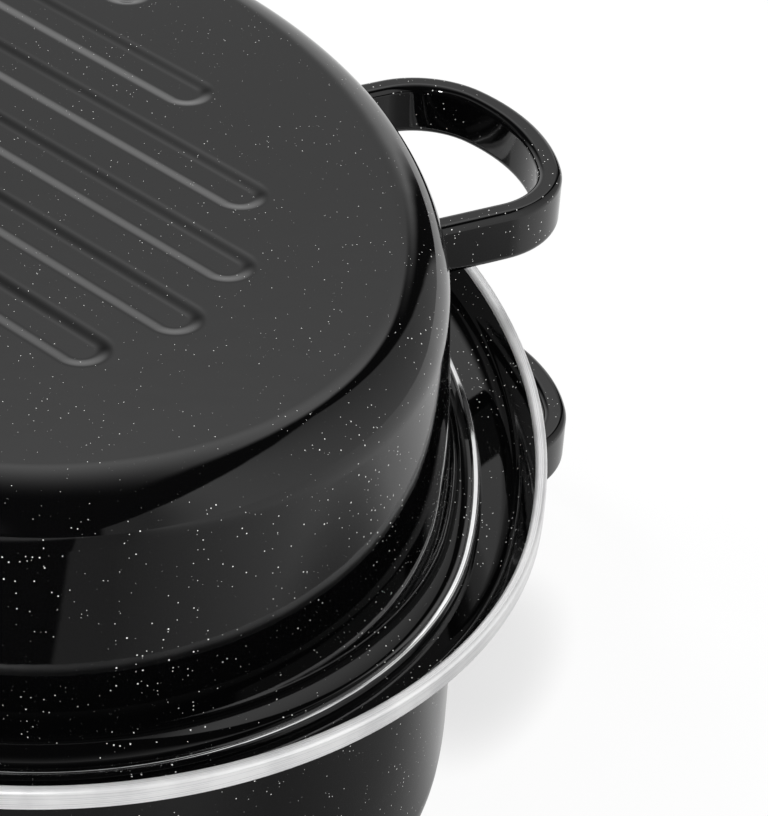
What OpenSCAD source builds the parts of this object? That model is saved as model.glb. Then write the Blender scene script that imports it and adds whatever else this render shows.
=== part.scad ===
// Enamel roasting pot: a deep oval pot with a flared collar, and a deep lid with
// a grooved flat top that rests in the collar. All sizes are millimetres.
// X runs from handle to handle, Y from front to back, Z up from the table.

/* [Mouth] */

// radius of the mouth's front and back curves, inside the steel rim
end_radius = 146; // [121:1:176]

// how oval the mouth is: the side of one unit of a 3, 4, 5 right triangle
oval_unit = 23; // [19:0.1:27.6]

/* [Sheet] */

// thickness of the enamelled sheet
sheet = 1.2; // [1:0.1:1.4]

/* [Pot] */

// height of the rim above the table
pot_height = 122; // [101:1:147]

// how far the body wall stands inside the mouth
body_inset = 20.5; // [18:0.5:25]

// outside radius between the wall and the floor
floor_radius = 28; // [23:0.5:33]

/* [Collar] */

// rise of the ledge that carries the lid
ledge_angle = 12; // [8:1:16]

// inside radius where the wall turns out into the ledge
ledge_bend = 6; // [5:0.5:7.5]

// rise of the flare above the ledge
flare_angle = 58; // [50:1:65]

// inside radius between ledge and flare
flare_bend = 9; // [7:0.5:11]

// straight length of the flare up to the rim
flare_length = 8; // [6.5:0.5:10]

/* [Steel rims] */

// width of the pot's rim
rim_width = 3.5; // [3:0.1:4.2]

// height of the pot's rim
rim_height = 6.4; // [5.4:0.1:7.6]

// width of the lid's rim
lid_rim_width = 2.6; // [2.4:0.1:3.1]

// height of the lid's rim
lid_rim_height = 3.2; // [3:0.1:3.8]

// clear space round an edge that sits in a steel rim, and under the lid
seat_gap = 0.1; // [0.05:0.05:0.2]

/* [Lid] */

// how far the lid's edge stands inside the mouth
lid_inset = 16; // [14.5:0.5:17]

// height of the lid's top above its edge
lid_height = 83.5; // [69:0.5:100.5]

// width of the flange round the foot of the lid
flange_width = 6; // [6:0.5:8]

// lean of the lid's wall
lid_draft = 4; // [3:0.5:5]

// outside radius where the flange turns up into the wall
foot_bend = 7; // [6:0.5:7]

// outside radius of the lid's shoulder
shoulder_radius = 17; // [14:0.5:20.5]

/* [Grooves] */

// distance from one groove to the next
groove_pitch = 29.8; // [26:0.1:35]

// depth of a groove
groove_depth = 2.4; // [2:0.1:2.9]

// radius of the pressing tool
groove_tool = 9; // [7.5:0.5:11]

// angle of the grooves to the line between the handles
groove_angle = -71; // [-80:1:-60]

// how far from the flat top's edge the grooves stay at the lid's sides
groove_side_margin = 44.5; // [37:0.5:53.5]

// how far from the flat top's edge the grooves stay at the lid's ends
groove_end_margin = 53; // [44:0.5:63.5]

// half length of the short outer grooves
outer_groove_half = 16; // [13:1:19]

// how far the short outer grooves are slid along their own line
outer_groove_slide = 52; // [43:1:58]

/* [Handles] */

// thickness of the handle band
band = 8; // [7:0.5:9.5]

// height of the handle band
band_height = 18; // [15:0.5:21.5]

// rounding of the band's edges
band_round = 2.4; // [2:0.1:2.9]

// how far a pot handle reaches out from the wall
pot_handle_reach = 67.5; // [60:0.5:81]

// how far a lid handle reaches out from the wall
lid_handle_reach = 63.5; // [60:0.5:76]

// radius of the handle's outer corners, at the middle of the band
handle_corner = 27.5; // [23:0.5:31]

// how broad the handle's end is: one unit of a 5, 12, 13 right triangle
handle_unit = 2.9; // [2.5:0.1:3.5]

// height of the pot handles' lower face above the table
pot_handle_level = 38.5; // [32:0.5:46]

// height of the lid handles' lower face above the rim
lid_handle_level = 14; // [12:0.5:16.5]

/* [Hidden] */

$fa = 3;
$fs = 0.6;

// the four arcs of the oval, centred on the corners of right triangles
end_centre = 3 * oval_unit;
side_centre = 4 * oval_unit;
side_radius = end_radius + 5 * oval_unit;
mouth_half_width = side_radius - side_centre;
mouth_half_length = end_radius + end_centre;
meeting = 12 * oval_unit * [1, 0.75] + [0, end_centre];

// a point a given way along a direction
function along(from, angle, length) = from + length * [cos(angle), sin(angle)];

// the collar, followed from the wall's inside face up to the rim; x counts from the mouth
wall_in = -body_inset - sheet;
flare_end = 0.6;
bend_run = ledge_bend * (1 - sin(ledge_angle));
bend_rise = ledge_bend * cos(ledge_angle);
turn_run = flare_bend * (sin(flare_angle) - sin(ledge_angle));
turn_rise = flare_bend * (cos(ledge_angle) - cos(flare_angle));
flare_run = flare_length * cos(flare_angle);
flare_rise = flare_length * sin(flare_angle);
ledge_run = flare_end - wall_in - bend_run - turn_run - flare_run;
ledge_rise = ledge_run * tan(ledge_angle);
edge_z = pot_height - 1.3;
bend_z = edge_z - flare_rise - turn_rise - ledge_rise - bend_rise;
ledge_start = [wall_in + bend_run, bend_z + bend_rise];
ledge_stop = ledge_start + [ledge_run, ledge_rise];
flare_start = ledge_stop + [turn_run, turn_rise];
flare_stop = [flare_end, edge_z];

// the lid rests with the round of its rim on the ledge
lid_round = 0.9;
seat_x = -lid_inset - lid_round;
seat_z = ledge_start[1] + (seat_x - ledge_start[0]) * tan(ledge_angle)
    + (lid_round + seat_gap) / cos(ledge_angle);
lid_z = seat_z - lid_round;
flange_top = lid_z + lid_rim_height / 2 + sheet / 2;
top_z = lid_z + lid_height;

// the lid's wall, outside face
wall_direction = 90 + lid_draft;
flange_stop = [-lid_inset - lid_rim_width / 2, flange_top];
foot_start = flange_stop - [flange_width - lid_rim_width / 2 - foot_bend / 2, 0];
foot_centre = foot_start + [0, foot_bend];
foot_stop = foot_centre + foot_bend * [-cos(lid_draft), -sin(lid_draft)];
shoulder_rise = shoulder_radius * (1 - sin(lid_draft));
wall_length = (top_z - shoulder_rise - foot_stop[1]) / cos(lid_draft);
wall_stop = along(foot_stop, wall_direction, wall_length);
shoulder_centre = wall_stop - shoulder_radius * [cos(lid_draft), sin(lid_draft)];

// piece to draw

// sweeps a section round the oval; the section's x counts outwards from the mouth
module round_the_oval() {
    for (side = [0, 1]) {
        mirror([side, 0, 0])
            intersection() {
                translate([-side_centre, 0, 0])
                    rotate_extrude()
                        translate([side_radius, 0])
                            children();
                linear_extrude(height = 4 * pot_height, center = true)
                    polygon([[-side_centre, 0], [meeting[0], -meeting[1]], meeting]);
            }
        mirror([0, side, 0])
            intersection() {
                translate([0, end_centre, 0])
                    rotate_extrude()
                        translate([end_radius, 0])
                            children();
                linear_extrude(height = 4 * pot_height, center = true)
                    polygon([[0, end_centre], meeting, [-meeting[0], meeting[1]]]);
            }
    }
}

// a flat plate that closes the middle a section leaves open
plate_reach = 94;

module middle_plate(z) {
    width = 2 * (mouth_half_width - plate_reach + 2);
    length = 2 * (mouth_half_length - plate_reach + 2);
    translate([-width / 2, -length / 2, z])
        cube([width, length, sheet]);
}

// points along an arc, one about every six degrees
function bend(centre, radius, start, stop) =
    let (steps = ceil(abs(stop - start) / 6))
    [for (i = [0 : steps])
        let (turn = start + (stop - start) * i / steps)
        centre + radius * [cos(turn), sin(turn)]];

// the outline of a rectangle with round corners about a middle
function rounded_outline(middle, width, height, round) =
    let (x = width / 2 - round, y = height / 2 - round)
    concat(bend(middle + [x, y], round, 0, 90), bend(middle + [-x, y], round, 90, 180),
        bend(middle + [-x, -y], round, 180, 270), bend(middle + [x, -y], round, 270, 360));

// section of the pot: floor, wall, ledge and flare, out along the outside, back inside
module pot_section() {
    floor_centre = [-body_inset - floor_radius, floor_radius];
    ledge_centre = [wall_in + ledge_bend, bend_z];
    flare_centre = ledge_stop + flare_bend * [-sin(ledge_angle), cos(ledge_angle)];
    polygon(concat(
        [[-plate_reach, 0]],
        bend(floor_centre, floor_radius, 270, 360),
        bend(ledge_centre, ledge_bend - sheet, 180, 90 + ledge_angle),
        bend(flare_centre, flare_bend + sheet, ledge_angle - 90, flare_angle - 90),
        [along(flare_stop, flare_angle - 90, sheet), flare_stop],
        bend(flare_centre, flare_bend, flare_angle - 90, ledge_angle - 90),
        bend(ledge_centre, ledge_bend, 90 + ledge_angle, 180),
        bend(floor_centre, floor_radius - sheet, 360, 270),
        [[-plate_reach, sheet]]));
}

module pot_body() {
    color("#1c1e1d") {
        round_the_oval() pot_section();
        middle_plate(0);
    }
}

// the pot's steel rim, with the slot that takes the sheet's edge
module pot_rim() {
    slot_end = along(along(flare_stop, flare_angle + 90, seat_gap), flare_angle, seat_gap);
    slot_start = along(slot_end, flare_angle, -2 * rim_width);
    slot_width = sheet + 2 * seat_gap;
    color("#c9cbcd")
        round_the_oval()
            difference() {
                polygon(rounded_outline([rim_width / 2, pot_height - rim_height / 2],
                    rim_width, rim_height, 1));
                polygon([slot_start, slot_end,
                    along(slot_end, flare_angle - 90, slot_width),
                    along(slot_start, flare_angle - 90, slot_width)]);
            }
}

// a rectangle with round corners
module rounded(width, height, round) {
    square([width - 2 * round, height], center = true);
    square([width, height - 2 * round], center = true);
    for (x = [-1, 1], y = [-1, 1])
        translate([x * (width / 2 - round), y * (height / 2 - round)])
            circle(r = round);
}

// a full ring of band about a centre, cut down to the wedge between two directions
module band_arc(centre, radius, from, to) {
    intersection() {
        translate(centre)
            rotate_extrude()
                translate([radius, 0])
                    rounded(band, band_height, band_round);
        linear_extrude(height = 2 * band_height, center = true)
            polygon([centre, centre + 10 * from, centre + 10 * (from + to), centre + 10 * to]);
    }
}

// a closed loop of band in plan, out from a wall at x = 0, its lower face at z = 0
module handle_loop(reach) {
    end_centre_x = reach - band / 2 - handle_corner - 13 * handle_unit;
    corner = [end_centre_x + 12 * handle_unit, 5 * handle_unit];
    translate([0, 0, band_height / 2]) {
        band_arc([end_centre_x, 0], handle_corner + 13 * handle_unit, [12, 5], [12, -5]);
        for (side = [0, 1])
            mirror([0, side, 0]) {
                band_arc(corner, handle_corner, [12, 5], [0, 12]);
                translate([corner[0], corner[1] + handle_corner, 0])
                    rotate([0, -90, 0])
                        linear_extrude(height = reach)
                            rotate([0, 0, 90])
                                rounded(band, band_height, band_round);
            }
    }
}

// a pot handle on the +X side, its legs cut to the round of the body wall
module pot_handle() {
    difference() {
        translate([mouth_half_width - body_inset, 0, pot_handle_level])
            handle_loop(pot_handle_reach);
        translate([-side_centre, 0, 0])
            cylinder(r = side_radius - body_inset + seat_gap, h = pot_height, $fa = 1);
    }
}

module pot_handle_left() {
    color("#222423")
        rotate([0, 0, 180]) pot_handle();
}

module pot_handle_right() {
    color("#222423")
        pot_handle();
}

// section of the lid without the grooves, out along the outside, back inside
module lid_section() {
    polygon(concat(
        [[-plate_reach, top_z]],
        bend(shoulder_centre, shoulder_radius, 90, lid_draft),
        bend(foot_centre, foot_bend, 180 + lid_draft, 270),
        [flange_stop, flange_stop - [0, sheet]],
        bend(foot_centre, foot_bend + sheet, 270, 180 + lid_draft),
        bend(shoulder_centre, shoulder_radius - sheet, lid_draft, 90),
        [[-plate_reach, top_z - sheet]]));
}

// where the grooves end on the flat top, as half sizes of an oval
groove_half_width = mouth_half_width + shoulder_centre[0] - groove_side_margin;
groove_half_length = mouth_half_length + shoulder_centre[0] - groove_end_margin;

// half length of the groove that runs past the middle at a given distance, and
// how far its own middle is slid, both from a straight line across that oval
function across(d) = [-sin(groove_angle) * d, cos(groove_angle) * d];
function way() = [cos(groove_angle), sin(groove_angle)];
function q2(v, w) = v[0] * w[0] / pow(groove_half_width, 2)
    + v[1] * w[1] / pow(groove_half_length, 2);
function tenth(v) = round(10 * v) / 10;
function slide(d) = tenth(-q2(across(d), way()) / q2(way(), way()));
function half(d) = tenth(sqrt(max(4, pow(slide(d), 2)
    - (q2(across(d), across(d)) - 1) / q2(way(), way()))));

// one straight groove with round ends, seen as the body that presses it
module groove_bar(radius, distance) {
    outer = abs(distance) > 3 * groove_pitch;
    reach = outer ? outer_groove_half : half(distance);
    middle = outer ? -sign(distance) * outer_groove_slide : slide(distance);
    translate([0, 0, top_z + groove_tool - groove_depth])
        rotate([0, 0, groove_angle])
            translate([middle, distance, 0]) {
                rotate([0, 90, 0])
                    cylinder(r = radius, h = 2 * reach, center = true);
                for (end = [-1, 1])
                    translate([end * reach, 0, 0])
                        sphere(r = radius);
            }
}

module lid_shell() {
    color("#1c1e1d")
        difference() {
            union() {
                round_the_oval() lid_section();
                middle_plate(top_z - sheet);
                // each groove shows as a rib underneath
                intersection() {
                    union()
                        for (step = [-3.5 : 3.5])
                            groove_bar(groove_tool + sheet, step * groove_pitch);
                    translate([-mouth_half_width, -mouth_half_length, top_z - 4 * sheet])
                        cube([2 * mouth_half_width, 2 * mouth_half_length, 3.5 * sheet]);
                }
            }
            for (step = [-3.5 : 3.5])
                groove_bar(groove_tool, step * groove_pitch);
        }
}

// section of the lid's steel rim, with the groove that takes the flange
module lid_rim() {
    color("#c9cbcd")
        round_the_oval()
            difference() {
                polygon(rounded_outline(
                    [-lid_inset - lid_rim_width / 2, lid_z + lid_rim_height / 2],
                    lid_rim_width, lid_rim_height, lid_round));
                translate([-lid_inset - 2 * lid_rim_width, flange_top - sheet - seat_gap])
                    square([1.5 * lid_rim_width + seat_gap, sheet + 2 * seat_gap]);
            }
}

// a lid handle on the +X side, its legs cut to the lean of the lid's wall
module lid_handle() {
    level = pot_height + lid_handle_level;
    foot_z = level - band_height;
    foot_x = foot_stop[0] - (foot_z - foot_stop[1]) * tan(lid_draft) + seat_gap;
    head_x = foot_x - 3 * band_height * tan(lid_draft);
    difference() {
        translate([mouth_half_width + foot_x - 2 * band_height * tan(lid_draft), 0, level])
            handle_loop(lid_handle_reach);
        translate([-side_centre, 0, foot_z])
            cylinder(r1 = side_radius + foot_x, r2 = side_radius + head_x,
                h = 3 * band_height, $fa = 1);
    }
}

module lid_handle_left() {
    color("#222423")
        rotate([0, 0, 180]) lid_handle();
}

module lid_handle_right() {
    color("#222423")
        lid_handle();
}

pot_body();
pot_rim();
pot_handle_left();
pot_handle_right();
lid_shell();
lid_rim();
lid_handle_left();
lid_handle_right();
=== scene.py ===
import math

import bmesh
import bpy
from mathutils import Matrix, Vector
from mathutils.geometry import delaunay_2d_cdt


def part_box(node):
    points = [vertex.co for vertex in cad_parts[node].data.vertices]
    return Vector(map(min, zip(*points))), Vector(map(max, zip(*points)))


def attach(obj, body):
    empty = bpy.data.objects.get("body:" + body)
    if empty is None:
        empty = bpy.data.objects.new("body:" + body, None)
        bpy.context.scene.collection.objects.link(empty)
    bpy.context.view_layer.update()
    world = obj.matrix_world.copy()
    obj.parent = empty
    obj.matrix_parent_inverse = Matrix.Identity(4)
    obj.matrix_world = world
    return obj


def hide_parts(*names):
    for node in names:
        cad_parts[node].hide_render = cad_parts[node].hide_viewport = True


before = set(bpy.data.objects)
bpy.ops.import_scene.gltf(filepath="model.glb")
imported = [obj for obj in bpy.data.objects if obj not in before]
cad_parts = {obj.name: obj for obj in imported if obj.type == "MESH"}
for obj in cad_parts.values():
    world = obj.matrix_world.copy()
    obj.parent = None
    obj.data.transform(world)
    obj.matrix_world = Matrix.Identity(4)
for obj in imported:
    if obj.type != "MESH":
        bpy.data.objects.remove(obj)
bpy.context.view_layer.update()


# POT BODY. One oval bowl drawn from 1.2 mm steel sheet, its wall stepped out near the top into a
# collar: a gently rising ledge that carries the lid, then a flare up to the mouth. It is dipped in
# black glass enamel, sprinkled with fine white specks and fired, so it is glossy all over.

class Wire:
    """One output of a node tree, so that node maths reads as plain maths."""

    def __init__(self, tree, socket=None):
        self.tree = tree
        self.socket = socket

    def node(self, kind, settings=None, sockets=None, output=0):
        """adds a node, its settings first, then its sockets' values or links; gives one output"""
        made = self.tree.nodes.new(kind)
        for name, value in (settings or {}).items():
            setattr(made, name, value)
        for name, value in (sockets or {}).items():
            if isinstance(value, Wire):
                self.tree.links.new(value.socket, made.inputs[name])
            else:
                made.inputs[name].default_value = value
        return Wire(self.tree, made.outputs[output] if made.outputs else None)

    def other(self, output):
        """another output of the same node"""
        return Wire(self.tree, self.socket.node.outputs[output])

    def math(self, operation, *others):
        """a maths node on this wire and up to two other values"""
        return self.node("ShaderNodeMath", {"operation": operation}, dict(enumerate((self, *others))))

    def ramp(self, start, stop):
        """0 at start and 1 at stop, with a soft turn at both ends"""
        sockets = {"Value": self, "From Min": start, "From Max": stop}
        return self.node("ShaderNodeMapRange", {"interpolation_type": "SMOOTHSTEP"}, sockets)

    def pick(self, when_false, when_true):
        """one of two numbers, by a wire that is 0 or 1"""
        return when_false + (when_true - when_false) * self

    def __add__(self, other):
        return self.math("ADD", other)

    def __radd__(self, other):
        return self.math("ADD", other)

    def __sub__(self, other):
        return self.math("SUBTRACT", other)

    def __rsub__(self, other):
        return self.node("ShaderNodeMath", {"operation": "SUBTRACT"}, {0: other, 1: self})

    def __mul__(self, other):
        return self.math("MULTIPLY", other)

    def __rmul__(self, other):
        return self.math("MULTIPLY", other)

    def __truediv__(self, other):
        return self.math("DIVIDE", other)

    def __gt__(self, other):
        return self.math("GREATER_THAN", other)


def start_material(name):
    """an empty material, and a wire to build it from"""
    made = bpy.data.materials.new(name)
    made.use_nodes = True
    made.node_tree.nodes.clear()
    return made, Wire(made.node_tree)


def speckled_enamel(name, roughness, speck_colour):
    """black glass enamel: a clean gloss over a hint of orange peel, with fine pale specks in it"""
    made, start = start_material(name)
    place = start.node("ShaderNodeTexCoord", output="Object")
    level = start.node("ShaderNodeSeparateXYZ", None, {"Vector": place}, output="Z")

    # one speck or none sits in each cell, about 1.4 mm wide; they come in loose crowds, and are
    # finer on the lid's flat top
    cells = start.node("ShaderNodeTexVoronoi", None, {"Vector": place, "Scale": 700.0})
    chance = start.node("ShaderNodeSeparateColor", None, {"Color": cells.other("Color")})
    crowd = start.node("ShaderNodeTexNoise", None, {"Vector": place, "Scale": 42.0, "Detail": 2.0})
    finer = 1.0 - 0.45 * level.ramp(0.188, 0.191)
    size = 0.02 + 0.15 * chance.ramp(0.3, 1.0) * crowd.ramp(0.28, 0.6) * finer
    speck = (cells - size).ramp(0.02, -0.02)
    black = (0.0014, 0.0014, 0.0015, 1.0)
    mixed = {0: speck, 6: black, 7: speck_colour}
    colour = start.node("ShaderNodeMix", {"data_type": "RGBA"}, mixed, output=2)

    # firing leaves long soft waves and a very fine grain in the glass
    waves = start.node("ShaderNodeTexNoise", None, {"Vector": place, "Scale": 90.0, "Detail": 1.0})
    grain = start.node("ShaderNodeTexNoise", None, {"Vector": place, "Scale": 900.0, "Detail": 2.0})
    height = waves + 0.06 * grain + 0.05 * speck
    bumps = {"Strength": 1.0, "Distance": 0.00003, "Height": height}
    surface = start.node("ShaderNodeBsdfPrincipled", None, {
        "Base Color": colour,
        "Roughness": roughness + 0.03 * crowd,
        "IOR": 1.5,
        "Normal": start.node("ShaderNodeBump", None, bumps),
    })
    start.node("ShaderNodeOutputMaterial", None, {"Surface": surface})
    return made


def start_tree(name, sizes):
    """an empty geometry tree with a named input for each size, and its inputs as wires"""
    tree = bpy.data.node_groups.new(name, "GeometryNodeTree")
    tree.interface.new_socket("Shape", in_out="INPUT", socket_type="NodeSocketGeometry")
    for size, kind in sizes.items():
        tree.interface.new_socket(size, in_out="INPUT", socket_type=kind)
    tree.interface.new_socket("Material", in_out="INPUT", socket_type="NodeSocketMaterial")
    tree.interface.new_socket("Shape", in_out="OUTPUT", socket_type="NodeSocketGeometry")
    given = tree.nodes.new("NodeGroupInput")
    return tree, {socket.name: Wire(tree, socket) for socket in given.outputs if socket.name}


def end_tree(shape, material):
    """the end of each tree: seams closed, faces smooth, plain geometry, the piece's material"""
    shape = shape.node("GeometryNodeMergeByDistance", None, {"Geometry": shape, "Distance": 0.00001})
    shape = shape.node("GeometryNodeSetShadeSmooth", None, {"Geometry": shape})
    shape = shape.node("GeometryNodeRealizeInstances", None, {"Geometry": shape})
    shape = shape.node("GeometryNodeSetMaterial", None, {"Geometry": shape, "Material": material})
    end = shape.tree.nodes.new("NodeGroupOutput")
    shape.tree.links.new(shape.socket, end.inputs["Shape"])


def face_outward(mesh):
    """turns every face outward, with the mesh's one material on it"""
    work = bmesh.new()
    work.from_mesh(mesh)
    bmesh.ops.recalc_face_normals(work, faces=work.faces)
    for face in work.faces:
        face.material_index = 0
    work.to_mesh(mesh)
    work.free()


def grow(name, mesh, tree, sizes):
    """runs a tree on a mesh and keeps what it makes as the piece's plain mesh, faces outward"""
    piece = bpy.data.objects.new(name, mesh)
    bpy.context.scene.collection.objects.link(piece)
    modifier = piece.modifiers.new(tree.name, "NODES")
    modifier.node_group = tree
    for item in tree.interface.items_tree:
        if item.in_out == "INPUT" and item.name in sizes:
            modifier[item.identifier] = sizes[item.name]
    evaluated = piece.evaluated_get(bpy.context.evaluated_depsgraph_get())
    made = bpy.data.meshes.new_from_object(evaluated)
    piece.modifiers.remove(modifier)
    piece.data = made
    made.materials.clear()
    made.materials.append(sizes["Material"])
    face_outward(made)
    return piece


def oval_tree():
    """sweeps a section round an oval of four arcs; a section point is (offset, share, height)"""
    tree, given = start_tree("round the oval", {
        "Side centre": "NodeSocketFloat",
        "Side radius": "NodeSocketFloat",
        "End centre": "NodeSocketFloat",
        "End radius": "NodeSocketFloat",
        "Steps": "NodeSocketInt",
    })
    section, steps = given["Shape"], given["Steps"]
    count = section.node("GeometryNodeAttributeDomainSize", {"component": "MESH"}, {"Geometry": section})
    swept = section.node("GeometryNodeMeshGrid", None, {"Vertices X": count, "Vertices Y": steps + 1})

    # each row of the grid is one point of the section, taken once round the oval
    index = section.node("GeometryNodeInputIndex")
    row = ((index + 0.5) / (steps + 1)).math("FLOOR")
    turn = (index - row * (steps + 1)) * (2 * math.pi) / steps
    place = section.node("GeometryNodeInputPosition")
    at_row = {"Geometry": section, "Value": place, "Index": row}
    point = section.node("GeometryNodeSampleIndex", {"data_type": "FLOAT_VECTOR"}, at_row)
    point = section.node("ShaderNodeSeparateXYZ", None, {"Vector": point})
    offset, share, height = point, point.other("Y"), point.other("Z")

    # the four arcs meet where the line outward has 4/5 of its length across the oval
    across, along = turn.math("COSINE"), turn.math("SINE")
    at_side = across.math("ABSOLUTE") > arcs_meet
    radius = offset + at_side.pick(given["End radius"], given["Side radius"])
    centre_x = at_side * across.math("SIGN") * given["Side centre"]
    centre_y = (1 - at_side) * along.math("SIGN") * given["End centre"]
    spot = section.node("ShaderNodeCombineXYZ", None, {
        "X": share * (radius * across - centre_x),
        "Y": share * (radius * along + centre_y),
        "Z": height,
    })
    swept = section.node("GeometryNodeSetPosition", None, {"Geometry": swept, "Position": spot})

    # the length across the section is kept for materials that run along the piece
    length = section.node("GeometryNodeInputNamedAttribute", {"data_type": "FLOAT"}, {"Name": "across"})
    at_row = {"Geometry": section, "Value": length, "Index": row}
    length = section.node("GeometryNodeSampleIndex", {"data_type": "FLOAT"}, at_row)
    kept = {"Geometry": swept, "Name": "across", "Value": length}
    swept = section.node("GeometryNodeStoreNamedAttribute", {"data_type": "FLOAT"}, kept)
    end_tree(swept, given["Material"])
    return tree


def step(place, angle, length):
    """the place a length away from another one, at an angle in degrees"""
    turn = math.radians(angle)
    return place[0] + length * math.cos(turn), place[1] + length * math.sin(turn)


def arc(centre, radius, start, stop, steps):
    """points on an arc between two angles in degrees"""
    return [step(centre, start + (stop - start) * i / steps, radius) for i in range(steps + 1)]


def joined(*stretches):
    """one line through several stretches, with a point close to both ends of each straight run"""
    line = list(stretches[0])
    for stretch in stretches[1:]:
        run = Vector(stretch[0]) - Vector(line[-1])
        if run.length > 0.001:
            close = run.normalized() * 0.0003
            line += [tuple(Vector(line[-1]) + close), tuple(Vector(stretch[0]) - close)]
        line += stretch if run.length > 0.00001 else stretch[1:]
    return line


def sweep(name, line, material, middle_shares=(), closed=False):
    """a piece made by sweeping a line of (offset, height) points round the oval; middle_shares
    carry both ends of the line on towards the middle"""
    points = [(offset, 1.0, height) for offset, height in line]
    first, last = points[0], points[-1]
    points = [(first[0], share, first[2]) for share in reversed(middle_shares)] + points
    points += [(last[0], share, last[2]) for share in middle_shares]
    points += points[:1] if closed else []
    mesh = bpy.data.meshes.new(name)
    mesh.from_pydata(points, [], [])
    lengths = [0.0]
    for a, b in zip(points, points[1:]):
        lengths.append(lengths[-1] + math.hypot(b[0] - a[0], b[2] - a[2]))
    mesh.attributes.new("across", "FLOAT", "POINT").data.foreach_set("value", lengths)
    return grow(name, mesh, round_the_oval, {**oval, "Material": material})


# the oval's four arcs are centred on the corners of 3, 4, 5 triangles
end_radius = 0.146
oval_unit = 0.023
arcs_meet = 4 / 5
oval = {
    "Side centre": 4 * oval_unit,
    "Side radius": end_radius + 5 * oval_unit,
    "End centre": 3 * oval_unit,
    "End radius": end_radius,
    "Steps": 360,
}
round_the_oval = oval_tree()

sheet = 0.0012
pot_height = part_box("pot_rim")[1][2]
body_inset = 0.0205
floor_radius = 0.028
ledge_angle = 12
ledge_bend = 0.006
flare_angle = 58
flare_bend = 0.009
flare_length = 0.008

# the collar is worked out downward from the flare's edge, which ends inside the steel rim
edge_in_rim = (0.0006, 0.0013)
flare_edge = (edge_in_rim[0], pot_height - edge_in_rim[1])
flare_back = step(flare_edge, flare_angle - 90, sheet)
flare_foot = step(flare_edge, flare_angle, -flare_length)
flare_centre = step(flare_foot, flare_angle + 90, flare_bend)
ledge_stop = step(flare_centre, ledge_angle - 90, flare_bend)
ledge_start_x = ledge_bend - body_inset - sheet - ledge_bend * math.sin(math.radians(ledge_angle))
ledge_fall = (ledge_stop[0] - ledge_start_x) * math.tan(math.radians(ledge_angle))
ledge_centre = step((ledge_start_x, ledge_stop[1] - ledge_fall), ledge_angle - 90, ledge_bend)
floor_centre = (-body_inset - floor_radius, floor_radius)

enamel = speckled_enamel("black_enamel", 0.03, (0.90, 0.90, 0.88, 1.0))
pot_body = sweep("pot_sheet", joined(
    arc(floor_centre, floor_radius - sheet, 270, 360, 24),
    arc(ledge_centre, ledge_bend, 180, ledge_angle + 90, 20),
    arc(flare_centre, flare_bend, ledge_angle - 90, flare_angle - 90, 12),
    [flare_edge],
    [flare_back],
    arc(flare_centre, flare_bend + sheet, flare_angle - 90, ledge_angle - 90, 12),
    arc(ledge_centre, ledge_bend - sheet, ledge_angle + 90, 180, 20),
    arc(floor_centre, floor_radius, 360, 270, 24),
), enamel, middle_shares=(0.98, 0.8, 0.5, 0.2, 0.0))
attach(pot_body, "root")
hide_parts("pot_body")


# POT RIM. A stainless steel strip rolled over the mouth's raw edge: rounded outside, with a slot
# inside it that the flare runs up into. It is brushed, so soft lines and smears run along it.

def steel_strip(name, roughness, metal):
    """pale stainless steel with brushed lines that run along the strip"""
    made, start = start_material(name)
    length = start.node("ShaderNodeAttribute", {"attribute_name": "across"}, output="Fac")
    place = start.node("ShaderNodeTexCoord", output="Object")
    smears = start.node("ShaderNodeTexNoise", None, {"Vector": place, "Scale": 60.0, "Detail": 3.0})

    # the lines drift a little across the strip
    drift = start.node("ShaderNodeTexNoise", None, {"Vector": place, "Scale": 25.0})
    brushing = {"W": length + 0.0012 * drift, "Scale": 3500.0, "Detail": 4.0}
    lines = start.node("ShaderNodeTexNoise", {"noise_dimensions": "1D"}, brushing)
    worn = (0.72, 0.72, 0.73, 1.0)
    bright = (0.98, 0.98, 0.98, 1.0)
    mixed = {0: (0.6 * lines + 0.4 * smears).ramp(0.38, 0.55), 6: worn, 7: bright}
    bumps = {"Strength": 0.8, "Distance": 0.00002, "Height": lines}
    surface = start.node("ShaderNodeBsdfPrincipled", None, {
        "Base Color": start.node("ShaderNodeMix", {"data_type": "RGBA"}, mixed, output=2),
        "Metallic": metal,
        "Roughness": roughness * (0.6 + 0.5 * lines + 0.3 * smears),
        "Normal": start.node("ShaderNodeBump", None, bumps),
    })
    start.node("ShaderNodeOutputMaterial", None, {"Surface": surface})
    return made


def down_the_flare(place):
    """where the flare's slope through a place comes down to the mouth's own face"""
    return 0.0, place[1] - place[0] * math.tan(math.radians(flare_angle))


seat_gap = 0.0001
rim_width = 0.0035
rim_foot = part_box("pot_rim")[0][2]
rim_round = 0.0012
rim_foot_round = 0.001
rim_top = pot_height - rim_round
slot_back = step(step(flare_back, flare_angle, seat_gap), flare_angle - 90, seat_gap)
slot_front = step(step(flare_edge, flare_angle, seat_gap), flare_angle + 90, seat_gap)

brushed_steel = steel_strip("brushed_steel", 0.42, 0.55)
pot_rim = sweep("pot_steel_rim", joined(
    [down_the_flare(slot_front)],
    arc((rim_round, rim_top), rim_round, 180, 90, 8),
    arc((rim_width - rim_round, rim_top), rim_round, 90, 0, 8),
    arc((rim_width - rim_foot_round, rim_foot + rim_foot_round), rim_foot_round, 0, -90, 8),
    arc((rim_foot_round, rim_foot + rim_foot_round), rim_foot_round, 270, 180, 8),
    [down_the_flare(slot_back)],
    [slot_back],
    [slot_front],
), brushed_steel, closed=True)
pot_rim.data.set_sharp_from_angle(angle=math.radians(50))
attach(pot_rim, "root")
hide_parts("pot_rim")


# POT HANDLES. Two loops bent from a flat steel band 8 by 18 mm and enamelled with the pot; their
# legs stand square on the body's side walls, so each leg's end is cut to the round of the wall.

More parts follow.
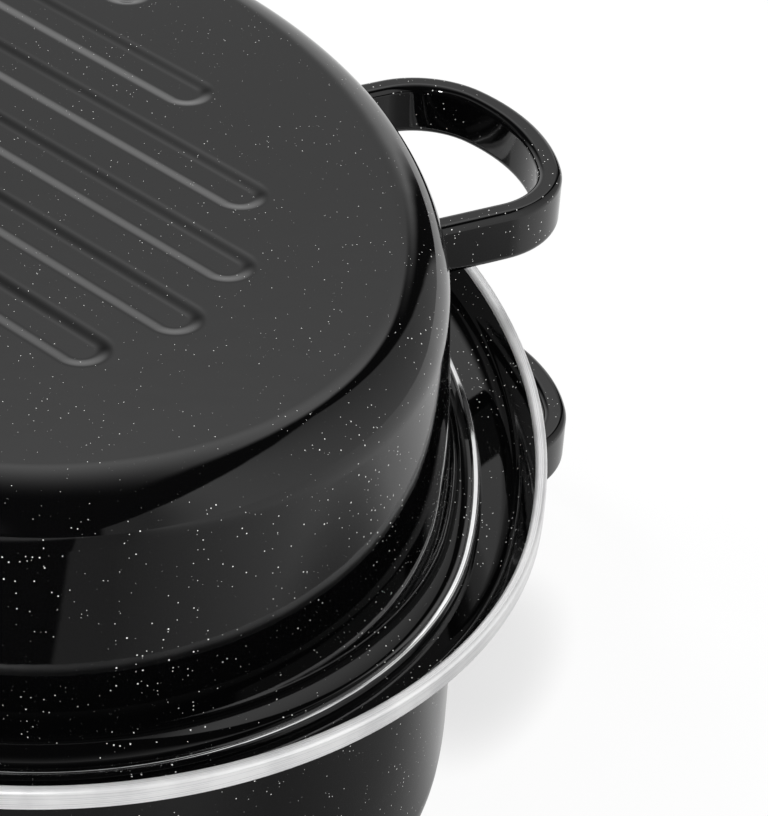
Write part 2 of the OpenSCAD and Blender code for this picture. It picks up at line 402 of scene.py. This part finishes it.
def band_tree():
    """sweeps a section along a loop and cuts the legs to a round wall that may lean inward"""
    tree, given = start_tree("bent band", {
        "Wall centre": "NodeSocketFloat",
        "Wall radius": "NodeSocketFloat",
        "Wall lean": "NodeSocketFloat",
        "Turn": "NodeSocketFloat",
    })
    both = given["Shape"]
    is_path = both.node("GeometryNodeInputNamedAttribute", {"data_type": "BOOLEAN"}, {"Name": "is_path"})
    chosen = {"Geometry": both, "Selection": is_path}
    parts = both.node("GeometryNodeSeparateGeometry", {"domain": "POINT"}, chosen)
    path = both.node("GeometryNodeMeshToCurve", None, {"Mesh": parts})
    path = both.node("GeometryNodeSetCurveNormal", {"mode": "Z_UP"}, {"Curve": path})
    section = both.node("GeometryNodeMeshToCurve", None, {"Mesh": parts.other("Inverted")})
    swept = {"Curve": path, "Profile Curve": section, "Fill Caps": True}
    loop = both.node("GeometryNodeCurveToMesh", None, swept)

    # what stands inside the wall is brought out to it
    place = both.node("ShaderNodeSeparateXYZ", None, {"Vector": both.node("GeometryNodeInputPosition")})
    out, side, up = place, place.other("Y"), place.other("Z")
    radius = given["Wall radius"] - given["Wall lean"] * up
    wall = (radius * radius - side * side).math("SQRT") - given["Wall centre"]
    cut = both.node("ShaderNodeCombineXYZ", None, {"X": out.math("MAXIMUM", wall), "Y": side, "Z": up})
    loop = both.node("GeometryNodeSetPosition", None, {"Geometry": loop, "Position": cut})
    turn = both.node("ShaderNodeCombineXYZ", None, {"Z": given["Turn"]})
    loop = both.node("GeometryNodeTransform", None, {"Geometry": loop, "Rotation": turn})
    end_tree(loop, given["Material"])
    return tree


def loop_handle(name, node, leg_end, wall, turn):
    """a loop handle as far out and as high as a node on the right, turned about the pot's middle;
    its legs start at leg_end, which is inside the wall"""
    low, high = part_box(node)
    level = (low[2] + high[2]) / 2

    # the tip's arc and the corners' arcs are centred on the corners of 5, 12, 13 triangles
    tip_radius = handle_corner + 13 * handle_unit
    tip_centre = (high[0] - band / 2 - tip_radius, 0.0)
    corner = (tip_centre[0] + 12 * handle_unit, 5 * handle_unit)
    meet = math.degrees(math.atan2(5, 12))
    leg = corner[1] + handle_corner
    half = joined(
        arc(tip_centre, tip_radius, 0, meet, 8),
        arc(corner, handle_corner, meet, 90, 16),
        [(leg_end + leg_step, leg), (leg_end, leg)],
    )
    path = [(x, -y) for x, y in reversed(half)] + half[1:]
    width, height = band / 2 - band_round, band_height / 2 - band_round
    section = joined(
        arc((width, height), band_round, 0, 90, 8),
        arc((-width, height), band_round, 90, 180, 8),
        arc((-width, -height), band_round, 180, 270, 8),
        arc((width, -height), band_round, 270, 360, 8),
        [(width + band_round, height)],
    )[:-1]
    points = [(x, y, level) for x, y in path] + [(x, y, 0.0) for x, y in section]
    edges = [(i, i + 1) for i in range(len(path) - 1)]
    edges += [(len(path) + i, len(path) + (i + 1) % len(section)) for i in range(len(section))]
    mesh = bpy.data.meshes.new(name)
    mesh.from_pydata(points, edges, [])
    marks = [True] * len(path) + [False] * len(section)
    mesh.attributes.new("is_path", "BOOLEAN", "POINT").data.foreach_set("value", marks)
    sizes = {"Wall centre": oval["Side centre"], "Turn": turn, "Material": handle_enamel, **wall}
    piece = grow(name, mesh, bent_band, sizes)
    piece.data.set_sharp_from_angle(angle=math.radians(45))
    return piece


band = 0.008
band_height = 0.018
band_round = 0.0024
handle_corner = 0.0275
handle_unit = 0.0029
leg_step = 0.0025
bent_band = band_tree()
handle_enamel = speckled_enamel("black_handle_enamel", 0.04, (0.84, 0.84, 0.82, 1.0))
pot_leg_end = 0.1435
pot_wall = {"Wall radius": oval["Side radius"] - body_inset + seat_gap, "Wall lean": 0.0}
for side, turn in (("left", math.pi), ("right", 0.0)):
    pot_handle = loop_handle("pot_loop_" + side, "pot_handle_right", pot_leg_end, pot_wall, turn)
    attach(pot_handle, "root")
    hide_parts("pot_handle_" + side)


# LID. One oval sheet drawn like the pot: a narrow flange, a steep wall and a wide round shoulder up
# to a flat top. Eight slanting grooves are pressed into the top between round-nosed tools; the
# middle ones run almost across it and the two outer ones are short.

def groove_depth(distance):
    """how far a groove presses the sheet down at a distance from the groove's own middle line"""
    share = min(1.0, max(0.0, (distance - groove_floor) / (groove_reach - groove_floor)))
    return groove_deep * (1 - share * share * (3 - 2 * share))


def groove_lines():
    """(middle, half length) of each groove's middle line, from straight lines across an oval"""
    way = (groove_cos, groove_sin)

    def measure(v, w):
        return v[0] * w[0] / groove_oval[0] ** 2 + v[1] * w[1] / groove_oval[1] ** 2

    for k in range(-groove_count // 2, groove_count // 2):
        apart = (k + 0.5) * groove_pitch
        aside = (-way[1] * apart, way[0] * apart)
        if k in (-groove_count // 2, groove_count // 2 - 1):
            slid, half = -math.copysign(outer_groove_slide, apart), outer_groove_half
        else:
            slid = -measure(aside, way) / measure(way, way)
            half = math.sqrt(slid ** 2 - (measure(aside, aside) - 1) / measure(way, way))
        yield (aside[0] + slid * way[0], aside[1] + slid * way[1]), half


def from_line(spot, line):
    """distance of a spot from a groove's middle line"""
    (x, y), half = line
    along = (spot[0] - x) * groove_cos + (spot[1] - y) * groove_sin
    aside = (spot[1] - y) * groove_cos - (spot[0] - x) * groove_sin
    return math.hypot(max(0.0, abs(along) - half), aside)


def oval_ring(offset):
    """the sweep's own points round the oval, at an offset from the mouth"""
    ring = []
    for i in range(oval["Steps"]):
        turn = 2 * math.pi * i / oval["Steps"]
        across, along = math.cos(turn), math.sin(turn)
        if abs(across) > arcs_meet:
            radius = oval["Side radius"] + offset
            ring.append((radius * across - math.copysign(oval["Side centre"], across), radius * along))
        else:
            radius = oval["End radius"] + offset
            ring.append((radius * across, radius * along + math.copysign(oval["End centre"], along)))
    return ring


def grooved_top(ring, level):
    """the flat top inside a ring of points, with rings of faces round each groove, at a level"""
    lines = list(groove_lines())
    points = [(x, y, level) for x, y in ring]
    edges = [(i, (i + 1) % len(ring)) for i in range(len(ring))]
    faces = []

    # each groove's rings run from just outside its slope to its middle line
    slope = groove_reach - groove_floor
    distances = [groove_reach + 0.0006, groove_reach + 0.0002]
    distances += [groove_reach - slope * i / slope_steps for i in range(1, slope_steps + 1)]
    distances += [groove_floor - 0.0004, groove_floor / 2, 0.0]
    for middle, half in lines:
        around = [(half, t) for t in range(-90, 91, 6)] + [(-half, t) for t in range(90, 271, 6)]
        count, start = len(around), len(points)
        for distance in distances:
            for end, angle in around:
                x, y = step((end, 0.0), angle, distance)
                x, y = x * groove_cos - y * groove_sin, x * groove_sin + y * groove_cos
                points.append((middle[0] + x, middle[1] + y, level - groove_depth(distance)))
        edges += [(start + i, start + (i + 1) % count) for i in range(count)]
        for a in range(start, len(points) - count, count):
            b = a + count
            faces += [(a + i, a + (i + 1) % count, b + (i + 1) % count, b + i) for i in range(count)]

    # the flat sheet between the grooves
    used = sorted({i for edge in edges for i in edge})
    number = {old: new for new, old in enumerate(used)}
    outline = [Vector(points[i][:2]) for i in used]
    borders = [(number[a], number[b]) for a, b in edges]
    found = delaunay_2d_cdt(outline, borders, [], 1, 1e-7)
    for triangle in found[2]:
        centre = sum((found[0][i] for i in triangle), Vector((0, 0))) / 3
        if all(from_line(centre, line) > distances[0] for line in lines):
            faces.append([used[found[3][i][0]] for i in triangle])
    return points, faces


lid_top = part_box("lid_shell")[1][2]
lid_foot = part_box("lid_rim")[0][2]
lid_inset = 0.016
lid_rim_width = 0.0026
lid_rim_height = 0.0032
flange_width = 0.006
foot_bend = 0.007
lid_draft = 4
shoulder_radius = 0.017
lean = math.tan(math.radians(lid_draft))

# the flange lies in the middle of the lid's rim; the wall leans in from its foot to the shoulder
flange_top = lid_foot + (lid_rim_height + sheet) / 2
flange_edge = -lid_inset - lid_rim_width / 2
foot_start = flange_edge - (flange_width - lid_rim_width / 2 - foot_bend / 2)
foot_centre = (foot_start, flange_top + foot_bend)
wall_foot = step(foot_centre, 180 + lid_draft, foot_bend)
shoulder_level = lid_top - shoulder_radius
wall_end = shoulder_level + shoulder_radius * math.sin(math.radians(lid_draft))
wall_top = (wall_foot[0] - (wall_end - wall_foot[1]) * lean, wall_end)
shoulder_centre = step(wall_top, 180 + lid_draft, shoulder_radius)
top_start = shoulder_centre[0] - 0.0003
top_ring = shoulder_centre[0] - 0.0006

groove_count = 8
groove_pitch = 0.0298
groove_turn = math.radians(-71)
groove_cos = math.cos(groove_turn)
groove_sin = math.sin(groove_turn)
groove_deep = 0.0010
groove_floor = 0.0036
groove_reach = 0.0094
slope_steps = 14
outer_groove_half = 0.016
outer_groove_slide = 0.052
groove_side_margin = 0.0445
groove_end_margin = 0.053
top_half_width = oval["Side radius"] - oval["Side centre"] + shoulder_centre[0]
top_half_length = oval["End radius"] + oval["End centre"] + shoulder_centre[0]
groove_oval = (top_half_width - groove_side_margin, top_half_length - groove_end_margin)

lid_shell = sweep("lid_sheet", joined(
    [(top_ring, lid_top)],
    [(top_start, lid_top)],
    arc(shoulder_centre, shoulder_radius, 90, lid_draft, 30),
    arc(foot_centre, foot_bend, 180 + lid_draft, 270, 22),
    [(flange_edge, flange_top)],
    [(flange_edge, flange_top - sheet)],
    arc(foot_centre, foot_bend + sheet, 270, 180 + lid_draft, 22),
    arc(shoulder_centre, shoulder_radius - sheet, lid_draft, 90, 30),
    [(top_start, lid_top - sheet)],
    [(top_ring, lid_top - sheet)],
), enamel)
work = bmesh.new()
work.from_mesh(lid_shell.data)
for level in (lid_top, lid_top - sheet):
    points, faces = grooved_top(oval_ring(top_ring), level)
    placed = [work.verts.new(p) for p in points]
    for face in faces:
        work.faces.new([placed[i] for i in face]).smooth = True
bmesh.ops.remove_doubles(work, verts=work.verts, dist=0.00001)
work.to_mesh(lid_shell.data)
work.free()
face_outward(lid_shell.data)
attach(lid_shell, "root")
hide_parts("lid_shell")


# LID RIM. A narrower stainless strip rolled onto the flange's edge; its round underside is what
# rests on the pot's ledge.

lid_rim_round = 0.0009
outer = -lid_inset - lid_rim_round
inner = -lid_inset - lid_rim_width + lid_rim_round
upper = lid_foot + lid_rim_height - lid_rim_round
lower = lid_foot + lid_rim_round
polished_steel = steel_strip("polished_steel", 0.06, 1.0)
lid_rim = sweep("lid_steel_rim", joined(
    [(inner - lid_rim_round, flange_top + seat_gap)],
    arc((inner, upper), lid_rim_round, 180, 90, 8),
    arc((outer, upper), lid_rim_round, 90, 0, 8),
    arc((outer, lower), lid_rim_round, 0, -90, 8),
    arc((inner, lower), lid_rim_round, 270, 180, 8),
    [(flange_edge + seat_gap, flange_top - sheet - seat_gap)],
    [(flange_edge + seat_gap, flange_top + seat_gap)],
), polished_steel, closed=True)
lid_rim.data.set_sharp_from_angle(angle=math.radians(50))
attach(lid_rim, "root")
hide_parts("lid_rim")


# LID HANDLES. The same loops again, straight above the pot's; the lid's wall leans in by 4 degrees,
# so their legs are cut to that lean, a hair's breadth off the wall.

leg_gap = 0.0002
lid_leg_end = 0.1350
wall_at_table = oval["Side radius"] + wall_foot[0] + wall_foot[1] * lean
lid_wall = {"Wall radius": wall_at_table + leg_gap, "Wall lean": lean}
for side, turn in (("left", math.pi), ("right", 0.0)):
    lid_handle = loop_handle("lid_loop_" + side, "lid_handle_right", lid_leg_end, lid_wall, turn)
    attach(lid_handle, "root")
    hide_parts("lid_handle_" + side)


# FLOOR AND STUDIO. A white table in a dark studio: the camera sees plain white with the pot's faint
# shadow, deepened in a painted patch. The gloss mirrors the table, its painted light brighter to the
# right, with a painted shadow before the pot and ending on the left, a large soft light behind the
# pot, the wall below that, a big card on its right and a dim one on its left.

def glow(start, kind, strength):
    """an even white light: an Emission or Background node at a strength"""
    return start.node(kind, None, {"Color": (1.0, 1.0, 1.0, 1.0), "Strength": strength})


def blend(start, share, first, second):
    """two shaders mixed: the first where share is 0, the second where it is 1"""
    return start.node("ShaderNodeMixShader", None, {0: share, 1: first, 2: second})


def white_table():
    """white to the camera, with a faint shadow deepened in a painted patch; glossy pieces see its
    painted light
    """
    made, start = start_material("white_table")
    camera = start.node("ShaderNodeLightPath")
    place = start.node("ShaderNodeTexCoord", output="Object")
    x = start.node("ShaderNodeSeparateXYZ", None, {"Vector": place})
    y = x.other("Y")
    paper = start.node("ShaderNodeBsdfDiffuse", None, {"Color": (0.9, 0.9, 0.9, 1.0)})
    white = glow(start, "ShaderNodeEmission", 1.0)
    dark = glow(start, "ShaderNodeEmission", 0.02)

    # painted shadow: the real shadow shows only faintly to the camera, and a painted patch close beside
    # the pot's near right side, long in shape, lets most of it through
    beside = (x + y - 0.075) / 0.060
    apart = (x - y - 0.234) / 0.028
    painted_shadow_patch = 0.45 + 0.47 * (beside * beside + apart * apart).ramp(0.1, 2.2)
    seen = blend(start, painted_shadow_patch, paper, white)

    # in the gloss the table's light is painted: brighter to the right, and a painted shadow darker
    # before the pot
    rise = (0.26 + 1.5 * (x + 0.05).math("MAXIMUM", 0.0)).math("MINIMUM", 0.9)
    aside = (x - 0.17) / 0.15
    ahead = (y + 0.24) / 0.10
    painted_shade = 0.4 + 0.6 * (aside * aside + ahead * ahead).ramp(0.2, 1.6)

    # its left end is a line that runs back and to the left; far beyond it there is light again,
    # for the side that the photograph doesn't show
    from_end = x - 0.25 * (y + 0.5).math("MINIMUM", 0.0)
    # the table's light in the gloss is painted: its falloff, its shadow, its dark end and the light
    # beyond
    light = from_end.ramp(-0.127, -0.118) * rise * painted_shade + 0.6 * x.ramp(-0.4, -0.9)
    mirrored = blend(start, light, dark, white)
    both = blend(start, camera, paper, seen)
    both = blend(start, camera.other("Is Glossy Ray"), both, mirrored)
    start.node("ShaderNodeOutputMaterial", None, {"Surface": both})
    return made


def faced(x, y, azimuth):
    """how far a way runs towards an azimuth, and how far to the right of it"""
    turn = math.radians(azimuth)
    toward = x * math.sin(turn) + y * math.cos(turn)
    right = x * math.cos(turn) - y * math.sin(turn)
    return toward, right


def studio_world():
    """white to the camera, and a dark studio with its lights and cards in the gloss"""
    world = bpy.data.worlds.new("studio")
    world.use_nodes = True
    world.node_tree.nodes.clear()
    start = Wire(world.node_tree)
    camera = start.node("ShaderNodeLightPath")
    way = start.node("ShaderNodeTexCoord", output="Generated")
    x = start.node("ShaderNodeSeparateXYZ", None, {"Vector": way})
    y, z = x.other("Y"), x.other("Z")
    degrees = 180 / math.pi

    # the large light hangs behind the pot, brightest low down, and fades out overhead
    toward, right = faced(x, y, 25)
    rise = z.math("ARCTAN2", toward) * degrees
    aside = right.math("ARCSINE") * degrees
    fall = rise.ramp(125.0, 45.0)
    main = rise.ramp(22.0, 46.0) * fall * fall * aside.ramp(19.0, 14.0) * aside.ramp(-24.0, -1.0)

    # the white wall far behind it shows below the light
    wall = rise.ramp(-15.0, -5.0) * rise.ramp(37.0, 14.0)
    wall = wall * aside.ramp(27.0, 20.0) * aside.ramp(-60.0, -40.0)

    # a large white card stands on the pot's right with straight edges; it is brightest where it
    # faces the pot and dims at both ends
    toward, right = faced(x, y, 108)
    toward = toward.math("MAXIMUM", 0.01)
    along, upward = right / toward, z / toward
    card = 0.42 + 0.58 * along.ramp(-1.0, 0.9) - 0.62 * along.ramp(0.9, 2.4)
    card = card * along.ramp(6.0, 5.0) * (along - 0.1 * upward).ramp(-1.15, -1.05)
    card = card * (upward + 0.12 * along).ramp(1.68, 1.58)

    # a soft card on the pot's left lights the side that the photograph doesn't show
    left_card = x.ramp(-0.45, -0.85) * z.ramp(0.0, 0.1) * z.ramp(0.85, 0.6)
    light = main + 0.70 * wall + 0.74 * card + 0.4 * left_card
    dim = glow(start, "ShaderNodeBackground", 0.015)
    bright = glow(start, "ShaderNodeBackground", 1.36)
    mirrored = blend(start, light, dim, bright)
    soft = glow(start, "ShaderNodeBackground", 0.75)
    white = glow(start, "ShaderNodeBackground", 1.0)
    both = blend(start, camera, soft, white)
    both = blend(start, camera.other("Is Glossy Ray"), both, mirrored)
    start.node("ShaderNodeOutputWorld", None, {"Surface": both})
    return world


def disk_lamp(name, size, power, place):
    """a round lamp that shines at the middle of the table"""
    light = bpy.data.lights.new(name, "AREA")
    light.shape = "DISK"
    light.size = size
    light.energy = power
    lamp = bpy.data.objects.new(name, light)
    lamp.location = place
    lamp.rotation_euler = lamp.location.to_track_quat("Z", "Y").to_euler()
    bpy.context.scene.collection.objects.link(lamp)
    return lamp


half_table = 4
corners = [(x * half_table, y * half_table, 0) for x, y in ((-1, -1), (1, -1), (1, 1), (-1, 1))]
table_mesh = bpy.data.meshes.new("table")
table_mesh.from_pydata(corners, [], [(0, 1, 2, 3)])
table_mesh.materials.append(white_table())
table = bpy.data.objects.new("table", table_mesh)
bpy.context.scene.collection.objects.link(table)

# the softbox casts the shadow; the spot only brightens the steel at the front left
softbox = disk_lamp("softbox", 0.5, 12, (-0.45, 0.8, 1.35))
softbox.visible_glossy = False
front_spot = disk_lamp("front_spot", 0.2, 16, (-1.12, -0.92, 1.15))
front_spot.data.use_shadow = False
bpy.context.scene.world = studio_world()
bpy.context.scene.view_settings.view_transform = "Standard"


# CAMERA. A long lens above the pot's front left corner, 1.1 m from the mouth and turned by four
# degrees about its own axis, so that the pot is framed like the photograph.

photo_width = 768
photo_height = 816
focal = 3500
scale = 3220.4
azimuth, elevation, roll = math.radians(-29.73), math.radians(34.96), math.radians(4.12)

# where the middle of the pot's mouth is in the photograph, from its top left corner
mouth_at = (-48.9, 367.9)
mouth = Vector((0, 0, pot_height))
back = Vector((math.sin(azimuth), -math.cos(azimuth), math.tan(elevation))).normalized()
right = Vector((math.cos(azimuth), math.sin(azimuth), 0))
up = back.cross(right)
spot = mouth + back * focal / scale
spot += (right * (photo_width / 2 - mouth_at[0]) + up * (mouth_at[1] - photo_height / 2)) / scale
image_right = right * math.cos(roll) + up * math.sin(roll)
image_up = up * math.cos(roll) - right * math.sin(roll)
lens = bpy.data.cameras.new("camera")
lens.sensor_width = 36
lens.lens = lens.sensor_width * focal / photo_height
camera = bpy.data.objects.new("camera", lens)
turned = Matrix((image_right, image_up, back)).transposed().to_4x4()
camera.matrix_world = Matrix.Translation(spot) @ turned
bpy.context.scene.collection.objects.link(camera)
bpy.context.scene.camera = camera
